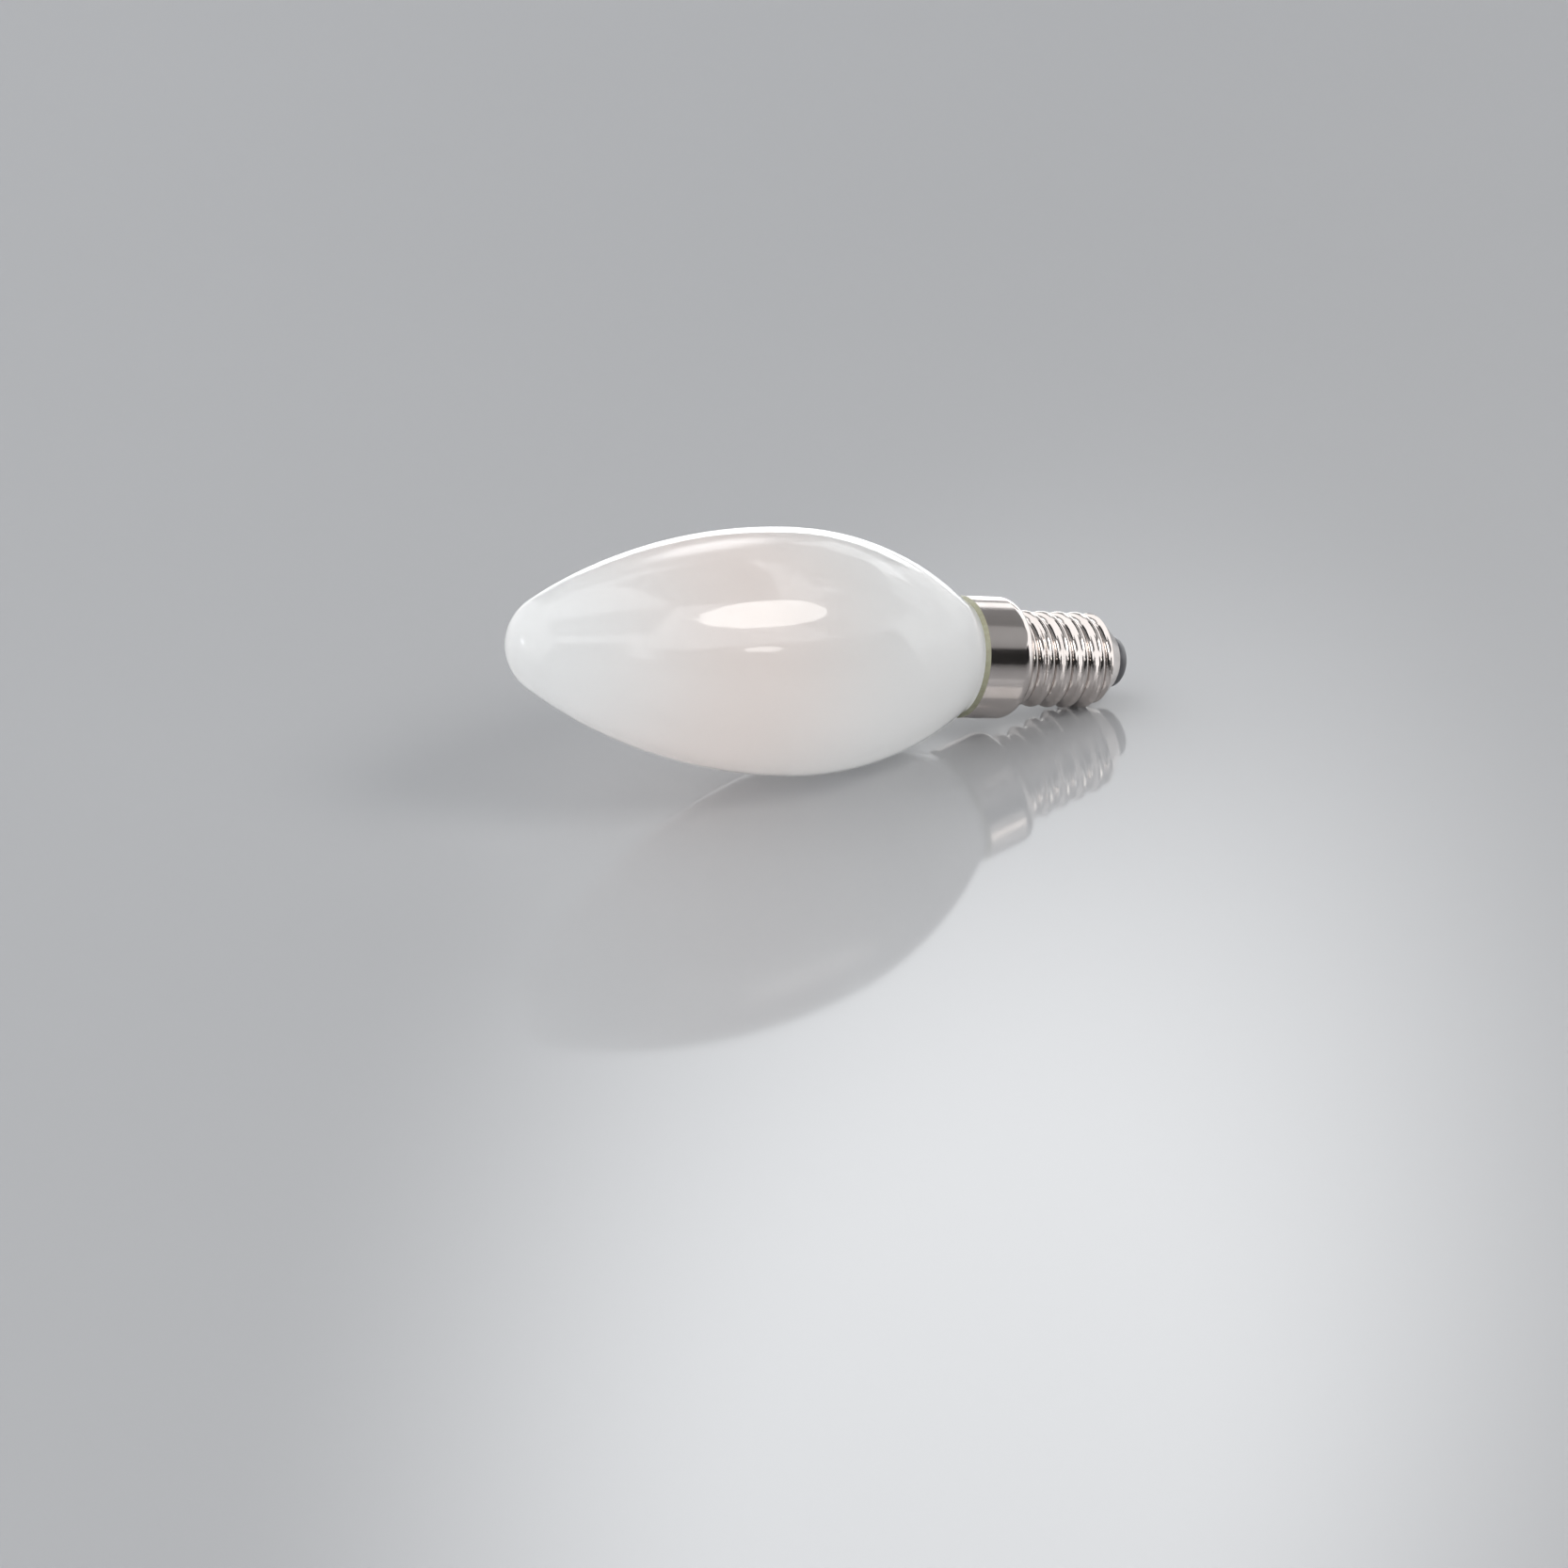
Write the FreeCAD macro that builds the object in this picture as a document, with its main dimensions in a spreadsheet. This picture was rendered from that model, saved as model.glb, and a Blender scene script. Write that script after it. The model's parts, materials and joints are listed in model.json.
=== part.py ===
# A candle lamp with a small screw cap, lying as it comes to rest: on the shoulder of its glass
# and on its thread, with the tip raised.
# Lengths are in millimetres. Every piece is drawn upright about the lamp's axis, with "along"
# measured from the glass tip and "across" measured from the axis, and one placement lays them down.

import FreeCAD
import Part
import Sketcher
import math
import os

# Each row is a name, a value and what it means.
DRIVING = (
    ("glass_radius", 17.5, "half of the widest diameter of the glass"),
    ("glass_wall", 0.7, "thickness of the blown glass"),
    ("belly_along", 44.0, "where the glass is widest"),
    ("tip_bend", 7.468, "radius of the rounded tip"),
    ("neck_bend", 6.0, "radius of the hollow curve into the neck"),
    ("neck_radius", 7.9, "outer radius of the glass neck"),
    ("shoulder_length", 29.9, "from the belly to where the neck runs straight"),
    ("run_length", 1.77, "straight run between the shoulder and the hollow curve"),
    ("neck_length", 4.8, "length of the straight neck"),
    ("neck_corner", 1.4, "rounding of the sealed neck"),
    ("seal_depth", 1.8, "thickness of the glass that closes the neck"),
    ("stub_radius", 2.0, "radius of the sealed exhaust tube"),
    ("stub_length", 5.3, "how far the sealed exhaust tube stands out of the neck"),
    ("skirt_over", 1.65, "how far the skirt reaches past the straight neck, towards the belly"),
    ("skirt_gap", 0.55, "gap for the cement between the neck and the skirt"),
    ("sheet_wall", 0.25, "thickness of the drawn metal sheet"),
    ("shoulder_back", 0.55, "how far the neck reaches past the start of the cap's shoulder"),
    ("cap_shoulder_bend", 2.3, "outer radius of the cap's shoulder"),
    ("cap_neck_bend", 0.5, "radius of the hollow under the shoulder"),
    ("thread_crest", 6.85, "outer radius of the sheet on the thread's crest"),
    ("thread_depth", 0.8, "depth of the thread's groove below its crest"),
    ("thread_pitch", 2.822, "advance of the thread in one turn"),
    ("thread_lead", 0.75, "from the start of the shoulder to the hidden start of the thread"),
    ("thread_over", 0.85, "how far the ridge is wound past the cap's small end, to be trimmed"),
    ("land_rise", 0.015, "rise of the core above the bottom of the groove"),
    ("ridge_sink", 0.3, "depth to which the ridge is rooted in the core"),
    ("end_start", 15.6, "from the start of the shoulder to the start of the end cone"),
    ("end_length", 3.1, "length of the end cone"),
    ("end_radius", 4.15, "outer radius of the cap's small end"),
    ("trim_reach", 3.0, "how far the end cone is drawn past its own start"),
    ("open_reach", 0.6, "how far the cap's inside is drawn past its two open ends"),
    ("cement_depth", 1.4, "how far the cement fills the gap along the straight neck"),
    ("cement_bead", 0.72, "length of the bead of cement in front of the skirt"),
    ("bead_inset", 0.03, "how far the bead stays inside the skirt's outer face"),
    ("insulator_inner", 1.05, "length of the insulator inside the end cone"),
    ("insulator_rise", 2.17, "height of the insulator's dome above the cap"),
    ("insulator_bend", 1.9, "rounding of the dome's side"),
    ("contact_rim", 0.138, "from the edge of the centre contact to the rounding of the dome"),
    ("contact_proud", 0.22, "height of the contact above the insulator"),
    ("contact_sink", 0.2, "depth of the contact's seat in the insulator"),
    ("contact_gap", 0.05, "clearance round the contact in its seat"),
    ("shank_radius", 0.8, "radius of the contact's shank"),
    ("shank_head", 0.4, "how far the shank stands out of the insulator inside the cap"),
    ("fit_gap", 0.1, "clearance between pieces that slide into each other"),
    ("sleeve_gap", 0.3, "clearance between the sleeve and the rolled thread"),
    ("sleeve_wall", 0.2, "thickness of the insulating sleeve"),
    ("sleeve_over", 2.5, "how far the insulating sleeve reaches past the board, towards the glass"),
    ("board_wall", 0.8, "thickness of the circuit board"),
    ("stub_gap", 0.9, "gap between the exhaust tube and the board"),
    ("shank_gap", 0.925, "gap between the contact's shank and the board"),
    ("package_inset", 0.25, "from the end of the board to the leads of the nearest package"),
    ("bridge_share", 0.3, "length of the bridge rectifier as a part of the board's length"),
    ("bridge_width", 3.2, "bridge rectifier across the board"),
    ("bridge_height", 1.5, "height of the bridge rectifier"),
    ("chip_share", 0.24, "length of the driver chip as a part of the board's length"),
    ("chip_width", 2.6, "driver chip across the board"),
    ("chip_height", 1.1, "height of the driver chip"),
    ("lead_spread", 0.6, "how far a flat lead reaches out from its package"),
    ("lead_width", 0.45, "width of a flat lead"),
    ("lead_wall", 0.2, "thickness of a flat lead"),
    ("lead_offset", 0.75, "distance of a lead from the middle of its package"),
    ("resistor_length", 1.6, "sense resistor along the lamp"),
    ("resistor_width", 0.8, "sense resistor across the board"),
    ("resistor_height", 0.45, "height of the sense resistor"),
    ("resistor_inset", 3.1, "from the start of the board to the middle of the sense resistor"),
    ("resistor_aside", 3.2, "distance of the sense resistor from the lamp's axis"),
    ("can_room", 0.7, "clearance between the smoothing capacitor and the sleeve"),
    ("can_inset", 1.3, "from the start of the board to the smoothing capacitor"),
    ("can_gap", 0.275, "gap between the smoothing capacitor and the end of the live wire"),
    ("can_rounding", 0.35, "rounding of the capacitor's can"),
    ("pin_width", 0.4, "thickness of a component's bent lead"),
    ("pin_spacing", 1.5, "distance between the capacitor's two leads"),
    ("pin_run", 0.6, "how far a lead runs before it turns to the board"),
    ("fuse_radius", 0.8, "radius of the fusible resistor"),
    ("fuse_inset", 3.7, "from the start of the board to the fusible resistor"),
    ("fuse_room", 2.075, "from the fusible resistor to the end of the board"),
    ("fuse_aside", 3.55, "distance of the fusible resistor from the lamp's axis"),
    ("fuse_rounding", 0.3, "rounding of the fusible resistor"),
    ("wire_radius", 0.25, "radius of the connecting wires"),
    ("wire_bend", 0.4, "radius of the bends in the wires"),
    ("wire_land", 1.4, "length of a wire's end that lies on the board"),
    ("feed_aside", 3.3, "distance of the two lead-in wires from the lamp's axis"),
    ("feed_straight", 1.6, "length of a lead-in wire before its first bend"),
    ("feed_slant", 1.3, "length of the slanting stretch of a lead-in wire along the lamp"),
    ("live_straight", 0.35, "length of the live wire before its first bend"),
    ("neutral_inset", 0.885, "distance of the neutral wire from the side of the board"),
    ("neutral_lift", 0.65, "height above the neck at which the neutral wire crosses to the cap"),
    ("neutral_gap", 0.03, "gap left for the weld between the neutral wire and the cap"),
    ("mark_radius", 0.4, "radius of the round punch that marks the groove of the thread"),
    ("mark_depth", 0.12, "depth of the punch mark"),
    ("mark_turns", 1.84, "turns along the groove from its first bottom to the punch mark"),
)

size = {name: value for name, value, meaning in DRIVING}

# The resting tilt is looked for between these angles, to this closeness, with the underside of
# the thread followed in steps of this length.
REST_TILTS = (0.0, 0.6)
REST_CLOSE = 1e-6
REST_STEP = 0.01

# The driver is turned about the lamp's axis so that its heavy side, with the capacitor, lies
# underneath, where a lamp that is free to roll comes to rest.
DRIVER_TURN = 180.0


def glass_places():
    """Places along the glass, and the bends of its flank and shoulder."""
    radius = size["glass_radius"]
    belly = size["belly_along"]
    size["neck_start"] = belly + size["shoulder_length"]
    size["neck_end"] = size["neck_start"] + size["neck_length"]
    size["stub_end"] = size["neck_end"] + size["stub_length"]
    # The flank touches the ball of the tip from outside and is widest at the belly.
    flank_spare = radius ** 2 + belly ** 2 - 2 * size["tip_bend"] * belly
    size["flank_bend"] = flank_spare / (2 * (radius - size["tip_bend"]))
    # The shoulder is widest at the belly too and leaves the straight run its length.
    hollow = size["neck_bend"]
    drop = size["neck_radius"] + hollow - radius
    spare = size["shoulder_length"] ** 2 + drop ** 2 - hollow ** 2 - size["run_length"] ** 2
    size["shoulder_bend"] = spare / (2 * (hollow - drop))


def glass_wall_sizes(prefix, wall):
    """Corner places of the glass profile, moved inwards by wall."""
    flank_middle = size["glass_radius"] - size["flank_bend"]
    shoulder_middle = size["glass_radius"] - size["shoulder_bend"]
    neck_middle = size["neck_radius"] + size["neck_bend"]
    belly = size["belly_along"]
    tip_bend = size["tip_bend"]
    tip_gap = math.hypot(flank_middle, belly - tip_bend)
    tip_across = -flank_middle / tip_gap
    tip_along = (tip_bend - belly) / tip_gap
    # A straight run joins the shoulder to the hollow curve and touches both.
    run_along = size["neck_start"] - belly
    run_across = neck_middle - shoulder_middle
    span = math.hypot(run_along, run_across)
    slope = math.atan2(run_along, run_across)
    slope -= math.acos((size["shoulder_bend"] + size["neck_bend"]) / span)
    shoulder_reach = size["shoulder_bend"] - wall
    neck_reach = size["neck_bend"] + wall
    size["flank_middle"] = flank_middle
    size["shoulder_middle"] = shoulder_middle
    size["neck_middle"] = neck_middle
    size[prefix + "_tip"] = wall
    size[prefix + "_tip_join"] = tip_bend + (tip_bend - wall) * tip_along
    size[prefix + "_tip_width"] = (tip_bend - wall) * tip_across
    size[prefix + "_belly"] = size["glass_radius"] - wall
    size[prefix + "_run_start"] = belly + shoulder_reach * math.sin(slope)
    size[prefix + "_run_wide"] = shoulder_middle + shoulder_reach * math.cos(slope)
    size[prefix + "_run_end"] = size["neck_start"] - neck_reach * math.sin(slope)
    size[prefix + "_run_narrow"] = neck_middle - neck_reach * math.cos(slope)
    size[prefix + "_neck"] = size["neck_radius"] - wall


def cap_wall_sizes(prefix, wall):
    """Corner places of the cap's sheet, moved inwards by wall."""
    shoulder = size["cap_shoulder_bend"]
    hollow = size["cap_neck_bend"]
    crest_bend = size["thread_bend"] - wall
    root_bend = size["thread_bend"] + wall
    shoulder_middle = size["skirt_radius"] - shoulder
    hollow_middle = size["thread_root"] + size["land_rise"] + hollow
    drop = shoulder_middle - hollow_middle
    step = math.sqrt((shoulder + hollow) ** 2 - drop ** 2)
    part = (shoulder - wall) / (shoulder + hollow)
    size["cap_shoulder_middle"] = shoulder_middle
    size["cap_hollow_middle"] = hollow_middle
    size["cap_hollow_along"] = size["cap_shoulder_along"] + step
    size[prefix + "_skirt"] = size["skirt_radius"] - wall
    size[prefix + "_bend_along"] = size["cap_shoulder_along"] + step * part
    size[prefix + "_bend_across"] = shoulder_middle - drop * part
    size[prefix + "_core"] = size["thread_root"] + size["land_rise"] - wall
    # The ridge has one round crest between two round hollows, all of them touching.
    lean = math.hypot(size["half_pitch"], size["ridge_offset"])
    size[prefix + "_join_low"] = size["thread_start"] - crest_bend * size["half_pitch"] / lean
    size[prefix + "_join_high"] = size["thread_start"] + crest_bend * size["half_pitch"] / lean
    size[prefix + "_join_across"] = size["crest_middle"] + crest_bend * size["ridge_offset"] / lean
    foot = size["half_pitch"] - math.sqrt(root_bend ** 2 - (root_bend - size["land_rise"]) ** 2)
    size[prefix + "_foot_low"] = size["thread_start"] - foot
    size[prefix + "_foot_high"] = size["thread_start"] + foot
    size[prefix + "_ridge_root"] = size[prefix + "_core"] - size["ridge_sink"]
    # The end cone keeps its wall square to its own slope.
    slope = (size["thread_crest"] - size["end_radius"]) / size["end_length"]
    inset = wall * math.hypot(slope, 1)
    past = size["open_reach"] if wall else 0.0
    size[prefix + "_low"] = size["skirt_edge"] - past
    size[prefix + "_high"] = size["cap_end"] + past
    size[prefix + "_end_wide"] = size["thread_crest"] + size["trim_reach"] * slope - inset
    size[prefix + "_end_narrow"] = size["end_radius"] - past * slope - inset


def cone_inside(along):
    """Inner radius of the end cone at a place along the lamp."""
    share = (size["inner_high"] - along) / (size["inner_high"] - size["trim_start"])
    return size["inner_end_narrow"] + share * (size["inner_end_wide"] - size["inner_end_narrow"])


def cone_place(across):
    """Place along the lamp where the end cone has an inner radius, the reverse of the above."""
    share = (across - size["inner_end_narrow"])
    share /= size["inner_end_wide"] - size["inner_end_narrow"]
    return size["inner_high"] - share * (size["inner_high"] - size["trim_start"])


def work_out_sizes():
    """Places that follow from the driving sizes."""
    glass_places()
    glass_wall_sizes("glass", 0.0)
    glass_wall_sizes("hollow", size["glass_wall"])
    size["neck_face"] = size["neck_radius"] - size["neck_corner"]
    size["neck_corner_along"] = size["neck_end"] - size["neck_corner"]
    size["hollow_end"] = size["neck_end"] - size["seal_depth"]
    size["stub_middle"] = size["stub_end"] - size["stub_radius"]

    size["skirt_edge"] = size["neck_start"] - size["skirt_over"]
    size["skirt_radius"] = size["neck_radius"] + size["skirt_gap"] + size["sheet_wall"]
    size["cement_end"] = size["neck_start"] + size["cement_depth"]
    size["cap_shoulder_along"] = size["neck_end"] - size["shoulder_back"]
    size["thread_root"] = size["thread_crest"] - size["thread_depth"]
    size["half_pitch"] = size["thread_pitch"] / 2
    depth = size["thread_depth"]
    # Two equal bends, one in the crest and one in the groove, give this depth at this pitch.
    size["thread_bend"] = (size["half_pitch"] ** 2 + depth ** 2) / (4 * depth)
    size["thread_start"] = size["cap_shoulder_along"] + size["thread_lead"]
    size["crest_middle"] = size["thread_crest"] - size["thread_bend"]
    size["groove_middle"] = size["thread_root"] + size["thread_bend"]
    size["ridge_offset"] = size["groove_middle"] - size["crest_middle"]
    size["groove_low"] = size["thread_start"] - size["half_pitch"]
    size["groove_high"] = size["thread_start"] + size["half_pitch"]
    size["cone_start"] = size["cap_shoulder_along"] + size["end_start"]
    size["cap_end"] = size["cone_start"] + size["end_length"]
    size["thread_length"] = size["cap_end"] - size["thread_start"] + size["thread_over"]
    size["trim_start"] = size["cone_start"] - size["trim_reach"]
    size["cover_radius"] = size["skirt_radius"] + size["trim_reach"]
    size["cover_low"] = size["skirt_edge"] - size["trim_reach"]
    cap_wall_sizes("outer", 0.0)
    cap_wall_sizes("inner", size["sheet_wall"])
    mark_across = size["thread_root"] - size["mark_depth"] + size["mark_radius"]
    size["mark_along"] = size["groove_high"] + size["mark_turns"] * size["thread_pitch"]
    size["mark_down"] = mark_across * math.cos(2 * math.pi * size["mark_turns"])
    size["mark_aside"] = mark_across * math.sin(2 * math.pi * size["mark_turns"])

    size["bead_along"] = size["skirt_edge"] - size["cement_bead"]
    size["bead_radius"] = size["skirt_radius"] - size["bead_inset"]
    size["seat_along"] = size["cap_end"] - size["insulator_inner"]
    size["seat_radius"] = cone_inside(size["seat_along"])
    size["dome_side"] = cone_inside(size["cap_end"])
    size["dome_along"] = size["cap_end"] + size["insulator_rise"]
    size["dome_bend_along"] = size["dome_along"] - size["insulator_bend"]
    rise = size["cap_end"] - size["dome_bend_along"]
    size["dome_middle"] = size["dome_side"] - math.sqrt(size["insulator_bend"] ** 2 - rise ** 2)
    size["contact_seat"] = size["dome_along"] - size["contact_sink"]
    size["contact_radius"] = size["dome_middle"] - size["contact_rim"]
    size["contact_recess"] = size["contact_radius"] + size["contact_gap"]
    size["contact_face"] = size["dome_along"] + size["contact_proud"]
    size["contact_rounding"] = (size["contact_proud"] + size["contact_sink"]) / 2
    size["contact_flat"] = size["contact_radius"] - size["contact_rounding"]
    size["contact_round_along"] = size["contact_face"] - size["contact_rounding"]
    size["shank_end"] = size["seat_along"] - size["shank_head"]

    size["sleeve_radius"] = size["thread_root"] - size["sheet_wall"] - size["sleeve_gap"]
    size["sleeve_bore"] = size["sleeve_radius"] - size["sleeve_wall"]
    size["sleeve_end"] = cone_place(size["sleeve_radius"] + size["sleeve_gap"])
    size["board_front"] = size["board_wall"] / 2
    size["board_back"] = -size["board_front"]
    reach = size["sleeve_bore"] - size["fit_gap"]
    size["board_width"] = 2 * math.sqrt(reach ** 2 - size["board_front"] ** 2)
    size["board_start"] = size["stub_end"] + size["stub_gap"]
    size["board_end"] = size["shank_end"] - size["shank_gap"]
    size["sleeve_start"] = size["board_start"] - size["sleeve_over"]
    package_sizes("bridge", size["board_end"], -1)
    package_sizes("chip", size["board_start"], 1)
    size["resistor_along"] = size["board_start"] + size["resistor_inset"]
    size["resistor_low"] = size["resistor_along"] - size["resistor_length"] / 2
    size["resistor_high"] = size["resistor_along"] + size["resistor_length"] / 2
    size["resistor_top"] = size["board_front"] + size["resistor_height"]
    size["can_radius"] = (size["sleeve_bore"] - size["board_front"] - size["can_room"]) / 2
    size["can_start"] = size["board_start"] + size["can_inset"]
    size["can_end"] = size["board_end"] - size["wire_land"] - size["can_gap"]
    size["fuse_start"] = size["board_start"] + size["fuse_inset"]
    size["fuse_end"] = size["board_end"] - size["fuse_room"]
    barrel_sizes("can")
    barrel_sizes("fuse")
    size["pin_half_spacing"] = size["pin_spacing"] / 2
    size["wire_middle"] = size["board_front"] + size["wire_radius"]
    size["neutral_aside"] = size["board_width"] / 2 - size["neutral_inset"]
    size["neutral_cross"] = size["neck_end"] + size["neutral_lift"]


def package_sizes(prefix, board_edge, inward):
    """Corner places of a flat package on two rows of bent leads, next to one end of the board."""
    length = size[prefix + "_share"] * (size["board_end"] - size["board_start"])
    along = board_edge + inward * (size["package_inset"] + size["lead_spread"] + length / 2)
    middle = size["board_front"] + size[prefix + "_height"] / 2
    size[prefix + "_top"] = size["board_front"] + size[prefix + "_height"]
    size[prefix + "_lead_over"] = middle + size["lead_wall"] / 2
    size[prefix + "_lead_under"] = middle - size["lead_wall"] / 2
    size["lead_foot"] = size["board_front"] + size["lead_wall"]
    for end, sign in (("near", -1), ("far", 1)):
        edge = length / 2
        bend = edge + size["lead_spread"] / 2
        size[f"{prefix}_{end}_edge"] = along + sign * edge
        size[f"{prefix}_{end}_bend"] = along + sign * bend
        size[f"{prefix}_{end}_inside"] = along + sign * (bend - size["lead_wall"])
        size[f"{prefix}_{end}_toe"] = along + sign * (edge + size["lead_spread"])


def barrel_sizes(prefix):
    """Corner places of a round component that lies along the lamp, about its own axis."""
    rounding = size[prefix + "_rounding"]
    half = size["pin_width"] / 2
    size[prefix + "_flat"] = size[prefix + "_radius"] - rounding
    size[prefix + "_round_low"] = size[prefix + "_start"] + rounding
    size[prefix + "_round_high"] = size[prefix + "_end"] - rounding
    size["pin_inside"] = half
    size["pin_outside"] = -half
    for end, edge, sign in (("near", "_start", -1), ("far", "_end", 1)):
        run = size["pin_run"] + half
        size[f"{prefix}_{end}_pin"] = size[prefix + edge] + sign * run
        size[f"{prefix}_{end}_crook"] = size[prefix + edge] + sign * (run - size["pin_width"])


def fill_sheet(document):
    """Write every size into the sheet, each under its own name."""
    sheet = document.addObject("Spreadsheet::Sheet", "Sizes")
    meanings = {name: meaning for name, value, meaning in DRIVING}
    for row, (name, value) in enumerate(size.items(), start=1):
        sheet.set(f"A{row}", name)
        sheet.set(f"B{row}", repr(float(value)))
        sheet.set(f"C{row}", meanings.get(name, "worked out from the sizes above"))
        sheet.setAlias(f"B{row}", name)
    document.recompute()
    return sheet


class Outline:
    """A closed outline drawn corner by corner, each corner tied to named sizes.

    A name of None stands for the lamp's axis across, and for the tip along.
    """

    def __init__(self, body, name, plane="XZ_Plane"):
        self.sketch = body.newObject("Sketcher::SketchObject", name)
        self.sketch.AttachmentSupport = (origin_plane(body, plane), [""])
        self.sketch.MapMode = "FlatFace"
        self.corner = None
        self.first = None
        self.first_end = None
        self.open_end = None

    def tie(self, geometry, point, direction, name):
        """Hold one coordinate of a point to a named size."""
        if name is None:
            axis = -2 if direction == "DistanceX" else -1
            self.sketch.addConstraint(Sketcher.Constraint("PointOnObject", geometry, point, axis))
            return
        rule = Sketcher.Constraint(direction, -1, 1, geometry, point, size[name])
        index = self.sketch.addConstraint(rule)
        self.sketch.setExpression(f"Constraints[{index}]", f"Sizes.{name}")

    def place(self, across, along):
        """Position of a corner in the sketch."""
        return FreeCAD.Vector(size.get(across, 0.0), size.get(along, 0.0), 0)

    def begin(self, across, along):
        """Start the outline at a corner."""
        self.corner = self.place(across, along)
        self.first = (across, along)
        self.open_end = None

    def join(self, geometry, start_point):
        """Hang a new edge on the end of the last one."""
        if self.open_end is None:
            self.tie(geometry, start_point, "DistanceX", self.first[0])
            self.tie(geometry, start_point, "DistanceY", self.first[1])
            self.first_end = (geometry, start_point)
            return
        rule = Sketcher.Constraint("Coincident", *self.open_end, geometry, start_point)
        self.sketch.addConstraint(rule)

    def line(self, across, along):
        """Draw a straight edge to a corner."""
        target = self.place(across, along)
        geometry = self.sketch.addGeometry(Part.LineSegment(self.corner, target), False)
        self.join(geometry, 1)
        self.tie(geometry, 2, "DistanceX", across)
        self.tie(geometry, 2, "DistanceY", along)
        self.corner = target
        self.open_end = (geometry, 2)

    def arc(self, middle, end, turn="left", hold="DistanceY"):
        """Draw a round edge about a middle, to a corner that one coordinate holds."""
        centre = self.place(*middle)
        target = self.place(*end)
        radius = (self.corner - centre).Length
        angles = []
        for point in (self.corner, target):
            angles.append(math.atan2(point.y - centre.y, point.x - centre.x))
        if turn == "right":
            angles.reverse()
        if angles[1] < angles[0]:
            angles[1] += 2 * math.pi
        circle = Part.Circle(centre, FreeCAD.Vector(0, 0, 1), radius)
        geometry = self.sketch.addGeometry(Part.ArcOfCircle(circle, *angles), False)
        start_point, end_point = (1, 2) if turn == "left" else (2, 1)
        self.join(geometry, start_point)
        self.tie(geometry, 3, "DistanceX", middle[0])
        self.tie(geometry, 3, "DistanceY", middle[1])
        self.tie(geometry, end_point, hold, end[0] if hold == "DistanceX" else end[1])
        self.corner = target
        self.open_end = (geometry, end_point)

    def close(self):
        """Draw the last straight edge back to the first corner."""
        target = self.place(*self.first)
        geometry = self.sketch.addGeometry(Part.LineSegment(self.corner, target), False)
        self.join(geometry, 1)
        rule = Sketcher.Constraint("Coincident", geometry, 2, *self.first_end)
        self.sketch.addConstraint(rule)
        return self.sketch


def origin_plane(body, role):
    """One of a body's own origin planes or axes."""
    for feature in body.Origin.OriginFeatures:
        if feature.Role == role:
            return feature
    raise ValueError(f"no origin feature {role}")


def new_body(document, name):
    """An empty body."""
    body = document.addObject("PartDesign::Body", name)
    body.Label = name
    return body


def turned(body, kind, sketch, name):
    """Revolve an outline about the lamp's axis, as material or as a hollow."""
    feature = body.newObject(kind, name)
    feature.Profile = sketch
    feature.ReferenceAxis = (sketch, ["V_Axis"])
    feature.Angle = 360
    sketch.Visibility = False
    return feature


def wound(body, sketch, name):
    """Wind an outline about the lamp's axis as a right-handed ridge."""
    feature = body.newObject("PartDesign::AdditiveHelix", name)
    feature.Profile = sketch
    feature.ReferenceAxis = (sketch, ["V_Axis"])
    feature.Mode = "pitch-height-angle"
    feature.setExpression("Pitch", "Sizes.thread_pitch")
    feature.setExpression("Height", "Sizes.thread_length")
    feature.LeftHanded = False
    feature.Reversed = False
    feature.Refine = False
    return feature


def glass_bulb(document):
    """Blown candle bulb: one wall of even thickness, sealed at the neck round its exhaust tube."""
    body = new_body(document, "glass_bulb")
    outline = Outline(body, "glass_outside")
    outline.begin(None, None)
    outline.arc((None, "tip_bend"), ("glass_tip_width", "glass_tip_join"))
    outline.arc(("flank_middle", "belly_along"), ("glass_belly", "belly_along"))
    outline.arc(("shoulder_middle", "belly_along"), ("glass_run_wide", "glass_run_start"))
    outline.line("glass_run_narrow", "glass_run_end")
    outline.arc(("neck_middle", "neck_start"), ("glass_neck", "neck_start"), turn="right")
    outline.line("glass_neck", "neck_corner_along")
    outline.arc(("neck_face", "neck_corner_along"), ("neck_face", "neck_end"), hold="DistanceX")
    outline.line("stub_radius", "neck_end")
    outline.line("stub_radius", "stub_middle")
    outline.arc((None, "stub_middle"), (None, "stub_end"), hold="DistanceX")
    turned(body, "PartDesign::Revolution", outline.close(), "blown_glass")

    hollow = Outline(body, "glass_inside")
    hollow.begin(None, "hollow_tip")
    hollow.arc((None, "tip_bend"), ("hollow_tip_width", "hollow_tip_join"))
    hollow.arc(("flank_middle", "belly_along"), ("hollow_belly", "belly_along"))
    hollow.arc(("shoulder_middle", "belly_along"), ("hollow_run_wide", "hollow_run_start"))
    hollow.line("hollow_run_narrow", "hollow_run_end")
    hollow.arc(("neck_middle", "neck_start"), ("hollow_neck", "neck_start"), turn="right")
    hollow.line("hollow_neck", "hollow_end")
    hollow.line(None, "hollow_end")
    turned(body, "PartDesign::Groove", hollow.close(), "sealed_space")
    return body


def basing_cement(document):
    """Ring of cement that fills the gap round the glass neck and shows as a thin bead."""
    body = new_body(document, "basing_cement")
    outline = Outline(body, "cement_ring")
    outline.begin("inner_skirt", "skirt_edge")
    outline.line("inner_skirt", "cement_end")
    outline.line("glass_neck", "cement_end")
    outline.line("glass_neck", "neck_start")
    outline.arc(("neck_middle", "neck_start"), ("bead_radius", "bead_along"))
    outline.line("bead_radius", "skirt_edge")
    turned(body, "PartDesign::Revolution", outline.close(), "cement")
    return body


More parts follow.
